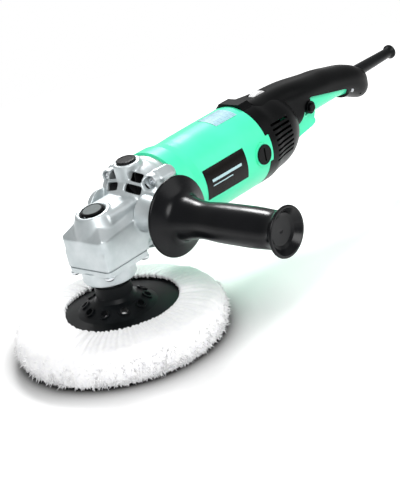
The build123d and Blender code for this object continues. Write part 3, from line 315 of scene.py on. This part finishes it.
# ---------------------------------------------------------------- wool bonnet
def bonnet_outline(radius, height):
    """Half section of the bonnet from the middle of the sole round and in: (radius, z, looseness, top).

    looseness is how far the wool there may stand out, and top is 1 on the gathered upper side."""
    opening = OPENING_SHARE * radius
    points = [(radius * RIM_SHARE * i / 16, 0.0, 0.15, 0.0) for i in range(17)]
    belly, rise = BELLY_SHARE * radius, BELLY_RISE * height
    for i in range(1, 25):
        angle = math.radians(-90 + i * 165 / 24)
        points.append((RIM_SHARE * radius + belly * math.cos(angle), rise + rise * math.sin(angle), 1.0,
                       max(0.0, (i - 14) / 10) * 0.4))
    start_r, start_z = points[-1][0], points[-1][1]
    for i in range(1, 27):
        share = i / 26
        r = start_r + (opening + LIP_REACH - start_r) * share
        z = start_z + (height - start_z) * (share ** 0.8) + 1.4 * MM * math.sin(math.pi * share)
        points.append((r, z, 0.9 - 0.65 * share, 0.4 + 0.6 * share))
    for i in range(1, 7):
        angle = math.radians(90 + i * 30)
        points.append((opening + LIP_REACH + LIP * math.cos(angle),
                       height - LIP + LIP * math.sin(angle), 0.2, 1.0))
    # the lining, which follows the backing pad and rises into its hollow middle
    inside = [(opening + 9 * MM, height - 4.6 * MM), (0.8 * radius, height - 10.6 * MM),
              (0.875 * radius, height - 12.7 * MM), (0.875 * radius, 12.1 * MM), (0.5 * radius, 12.0 * MM),
              (30.6 * MM, 12.1 * MM), (29.6 * MM, 28.4 * MM), (20.4 * MM, 35.2 * MM), (8 * MM, 38.4 * MM),
              (0.0, 38.4 * MM)]
    points += [(r, z, 0.0, 0.0) for r, z in inside]
    return points


def gathers(angle, folds):
    """Sum of uneven radial folds, about -1 to 1."""
    return sum(weight * math.sin(count * angle + shift) for count, shift, weight in folds)


def bonnet_mesh(radius, height, rng):
    """Turned skin of the bonnet with gathered folds near the opening and lumpy wool at the rim."""
    folds = [(rng.randint(34, 110), rng.uniform(0, math.tau), rng.uniform(0.12, 0.3)) for _ in range(9)]
    sway = [(count, rng.uniform(0, math.tau), 1.0 / count) for count in (2, 3, 5, 8, 13, 21)]
    outline = bonnet_outline(radius, height)
    verts = []
    for step in range(SKIN_STEPS):
        angle = math.tau * step / SKIN_STEPS
        pleat = gathers(angle, folds)
        wander = gathers(angle, sway)
        cosine, sine = math.cos(angle), math.sin(angle)
        for r, z, loose, top in outline:
            shape = Vector((r * cosine, r * sine, z))
            lump = noise.noise(shape * 80) * 1.3 + noise.noise(shape * 260) * 0.5
            out = r + loose * lump * MM + loose * wander * 0.9 * MM * (1 - top)
            # the pleats stand deepest on the side away from the motor
            left = max(0.0, -cosine * 0.8 + sine * 0.6)
            fold = top ** 1.6 * ((1.1 + 0.9 * left) * pleat + 0.3 * noise.noise(shape * 160))
            out -= top ** 3 * left ** 3 * (4.5 + 3.0 * wander) * MM
            out += top ** 3 * (1.2 * wander + 0.7 * pleat) * MM
            lift = z + fold * MM + loose * 0.6 * MM * noise.noise(shape * 130 + Vector((3, 5, 7)))
            if z <= 0.0:
                lift = 0.25 * MM * abs(noise.noise(shape * 150)) * min(1.0, r / 0.02)
            shift = top ** 2 * MM
            verts.append((out * cosine + 3.4 * shift, out * sine + 0.6 * shift, max(0.0, lift)))
    rows = len(outline)
    faces = []
    for step in range(SKIN_STEPS):
        here, there = step * rows, ((step + 1) % SKIN_STEPS) * rows
        for i in range(rows - 1):
            faces.append((here + i, there + i, there + i + 1, here + i + 1))
    mesh = bpy.data.meshes.new("wool_bonnet_skin")
    mesh.from_pydata(verts, [], faces)
    cleaner = bmesh.new()
    cleaner.from_mesh(mesh)
    bmesh.ops.remove_doubles(cleaner, verts=cleaner.verts, dist=2e-6)
    bmesh.ops.dissolve_degenerate(cleaner, edges=cleaner.edges, dist=1e-7)
    bmesh.ops.recalc_face_normals(cleaner, faces=cleaner.faces)
    cleaner.to_mesh(mesh)
    cleaner.free()
    mesh.shade_smooth()
    return mesh


def wool_locks(radius, height, rng):
    """Short tapered locks of wool that stand out of the rim and break up the outline."""
    verts, faces = [], []
    for _ in range(LOCKS):
        around = rng.uniform(0, math.tau)
        slope = math.radians(rng.triangular(-88, 40, -45))
        out = Vector((math.cos(around) * math.cos(slope), math.sin(around) * math.cos(slope),
                      math.sin(slope)))
        ring_r = RIM_SHARE * radius + LOCK_REACH * radius * math.cos(slope)
        root = Vector((ring_r * math.cos(around), ring_r * math.sin(around),
                       BELLY_RISE * height * (1 + 0.98 * math.sin(slope))))
        stray = Vector((rng.gauss(0, 0.5), rng.gauss(0, 0.5), rng.gauss(-0.1, 0.4)))
        heading = (out + stray).normalized()
        curl = Vector((rng.gauss(0, 1), rng.gauss(0, 1), rng.gauss(0, 1))) * 0.35
        length = rng.uniform(1.4, 3.8) * MM
        thick = rng.uniform(0.5, 1.1) * MM
        base = len(verts)
        for ring in range(LOCK_SEGMENTS + 1):
            share = ring / LOCK_SEGMENTS
            centre = root + heading * length * share + curl * length * share * share
            side = heading.orthogonal().normalized()
            other = heading.cross(side)
            width = thick * (1 - share) ** 0.7 + 0.05 * MM
            for corner in range(LOCK_SIDES):
                turn = math.tau * corner / LOCK_SIDES + share
                spot = centre + side * width * math.cos(turn) + other * width * math.sin(turn)
                verts.append((spot.x, spot.y, max(0.1 * MM, spot.z)))
        for ring in range(LOCK_SEGMENTS):
            for corner in range(LOCK_SIDES):
                a = base + ring * LOCK_SIDES + corner
                b = base + ring * LOCK_SIDES + (corner + 1) % LOCK_SIDES
                faces.append((a, b, b + LOCK_SIDES, a + LOCK_SIDES))
        tip = base + LOCK_SEGMENTS * LOCK_SIDES
        faces.append((tip, tip + 1, tip + 2))
        faces.append((base + 2, base + 1, base))
    mesh = bpy.data.meshes.new("wool_bonnet_pile")
    mesh.from_pydata(verts, [], faces)
    mesh.shade_smooth()
    return mesh


def make_bonnet(finishes):
    """Wool skin and its loose locks, drawn in place of the plain CAD bonnet and its cord."""
    low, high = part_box("wool_bonnet")
    radius = high.y - 2.5 * MM
    height = high.z - low.z
    rng = random.Random(11)
    skin = bpy.data.objects.new("wool_bonnet_skin", bonnet_mesh(radius, height, rng))
    pile = bpy.data.objects.new("wool_bonnet_pile", wool_locks(radius, height, rng))
    for piece in (skin, pile):
        bpy.context.scene.collection.objects.link(piece)
        dress(piece, finishes["wool"])
        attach(piece, "spindle_unit")
    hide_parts("wool_bonnet", "bonnet_drawcord")


# ---------------------------------------------------------------- stage, light and camera
def make_floor():
    """Pale floor that reads white to the camera, keeps the shadow, and carries a painted shadow round the
    object.
    """
    grid = bmesh.new()
    bmesh.ops.create_grid(grid, x_segments=8, y_segments=8, size=4.0)
    mesh = bpy.data.meshes.new("studio_floor")
    grid.to_mesh(mesh)
    grid.free()
    floor = bpy.data.objects.new("studio_floor", mesh)
    bpy.context.scene.collection.objects.link(floor)
    material = bpy.data.materials.new("white_studio_paper")
    material.use_nodes = True
    tree = material.node_tree
    tree.nodes.clear()
    paper = add_node(tree, "ShaderNodeBsdfDiffuse", {"Color": tone("#e6e6e6")})
    # what the camera sees of the paper is lifted to white where the light is full, and a painted shadow from
    # ambient occlusion darkens it close to the object
    painted_shadow_occlusion = add_node(tree, "ShaderNodeAmbientOcclusion", {"Distance": 0.07})
    shade = add_node(tree, "ShaderNodeMath", {"operation": "POWER", 1: 2.2}, {0: painted_shadow_occlusion.outputs["AO"]})
    lifted = add_node(tree, "ShaderNodeMapRange", {"To Min": 0.0, "To Max": 1.25},
                      {"Value": shade.outputs[0]}).outputs["Result"]
    near = add_node(tree, "ShaderNodeBsdfDiffuse", links={"Color": lifted})
    # the sweep of paper beyond the object's shadow stays plain white
    place = add_node(tree, "ShaderNodeTexCoord").outputs["Object"]
    away = add_node(tree, "ShaderNodeVectorMath", {"operation": "DISTANCE", 1: (0.18, 0.0, 0.0)}, {0: place})
    fade = add_node(tree, "ShaderNodeMapRange", {"From Min": 0.42, "From Max": 0.75},
                    {"Value": away.outputs["Value"]}).outputs["Result"]
    plain = add_node(tree, "ShaderNodeEmission", {"Color": tone("#ffffff"), "Strength": 1.0})
    both = add_node(tree, "ShaderNodeMixShader", links={0: fade, 1: near.outputs[0], 2: plain.outputs[0]})
    path = add_node(tree, "ShaderNodeLightPath")
    seen = add_node(tree, "ShaderNodeMath", {"operation": "MAXIMUM"},
                    {0: path.outputs["Is Camera Ray"], 1: path.outputs["Is Glossy Ray"]})
    seen = add_node(tree, "ShaderNodeMath", {"operation": "MAXIMUM"},
                    {0: seen.outputs[0], 1: path.outputs["Is Transmission Ray"]})
    mix = add_node(tree, "ShaderNodeMixShader",
                   links={0: seen.outputs[0], 1: paper.outputs[0], 2: both.outputs[0]})
    add_node(tree, "ShaderNodeOutputMaterial", links={"Surface": mix.outputs[0]})
    mesh.materials.append(material)


def make_world():
    """Soft even fill from all round, with white behind the object."""
    world = bpy.data.worlds.new("studio")
    bpy.context.scene.world = world
    world.use_nodes = True
    tree = world.node_tree
    tree.nodes.clear()
    path = add_node(tree, "ShaderNodeLightPath")
    seen = add_node(tree, "ShaderNodeMath", {"operation": "MAXIMUM"},
                    {0: path.outputs["Is Camera Ray"], 1: path.outputs["Is Transmission Ray"]})
    fill = add_node(tree, "ShaderNodeBackground", {"Color": tone("#ffffff"), "Strength": 0.4})
    white = add_node(tree, "ShaderNodeBackground", {"Color": tone("#ffffff"), "Strength": 1.0})
    mix = add_node(tree, "ShaderNodeMixShader",
                   links={0: seen.outputs[0], 1: fill.outputs[0], 2: white.outputs[0]})
    add_node(tree, "ShaderNodeOutputWorld", links={"Surface": mix.outputs[0]})


def make_lamp(name, place, aim, size, power):
    """Round softbox at a place, turned to face its aim."""
    data = bpy.data.lights.new(name, "AREA")
    data.shape = "DISK"
    data.size = size
    data.energy = power
    lamp = bpy.data.objects.new(name, data)
    bpy.context.scene.collection.objects.link(lamp)
    lamp.location = place
    lamp.rotation_euler = (Vector(aim) - Vector(place)).to_track_quat("-Z", "Y").to_euler()


def make_camera():
    """Long lens from the front left and above, rolled so that the machine climbs to the right."""
    azimuth, elevation, roll = (math.radians(a) for a in (-44.8114, 22.2440, -12.1557))
    distance = 1.36678
    back = Vector((math.sin(azimuth) * math.cos(elevation), -math.cos(azimuth) * math.cos(elevation),
                   math.sin(elevation)))
    flat_right = Vector((math.cos(azimuth), math.sin(azimuth), 0))
    flat_up = back.cross(flat_right)
    right = flat_right * math.cos(roll) + flat_up * math.sin(roll)
    up = flat_up * math.cos(roll) - flat_right * math.sin(roll)
    target = Vector((0.120, 0, 0.100)) + right * 0.00861 - up * 0.05155
    data = bpy.data.cameras.new("studio_camera")
    data.lens = 112.245
    data.sensor_width = 36.0
    camera = bpy.data.objects.new("studio_camera", data)
    bpy.context.scene.collection.objects.link(camera)
    camera.matrix_world = Matrix.Translation(target + back * distance) @ Matrix(
        (right, up, back)).transposed().to_4x4()
    bpy.context.scene.camera = camera


def main():
    """Dress every CAD node, add the scene's own pieces, then the stage, lamps and camera."""
    bpy.context.scene.view_settings.view_transform = "Standard"
    finishes = make_finishes()
    slots = {row["node"]: row["material_slot"] for row in frame["record"]["subparts"]}
    for node, piece in frame["nodes"].items():
        dress(piece, finishes[slots[node]])
        smooth_shading(piece)
    make_bonnet(finishes)
    moulded("gear_housing", "gear_housing_casting", 0.8, 11, "root", "cast_aluminium", finishes)
    moulded("trigger_paddle", "trigger_moulding", 0.6, 5, "trigger", "mint_abs", finishes)
    make_floor()
    make_world()
    make_lamp("key_softbox", (-0.6, -1.0, 0.95), (0.1, 0, 0.05), 0.9, 15)
    make_lamp("side_softbox", (0.9, -1.2, 0.8), (0.1, 0, 0.08), 1.0, 4)
    make_lamp("back_softbox", (0.75, 0.65, 1.05), (0.05, 0, 0.05), 0.4, 13)
    make_camera()


main()
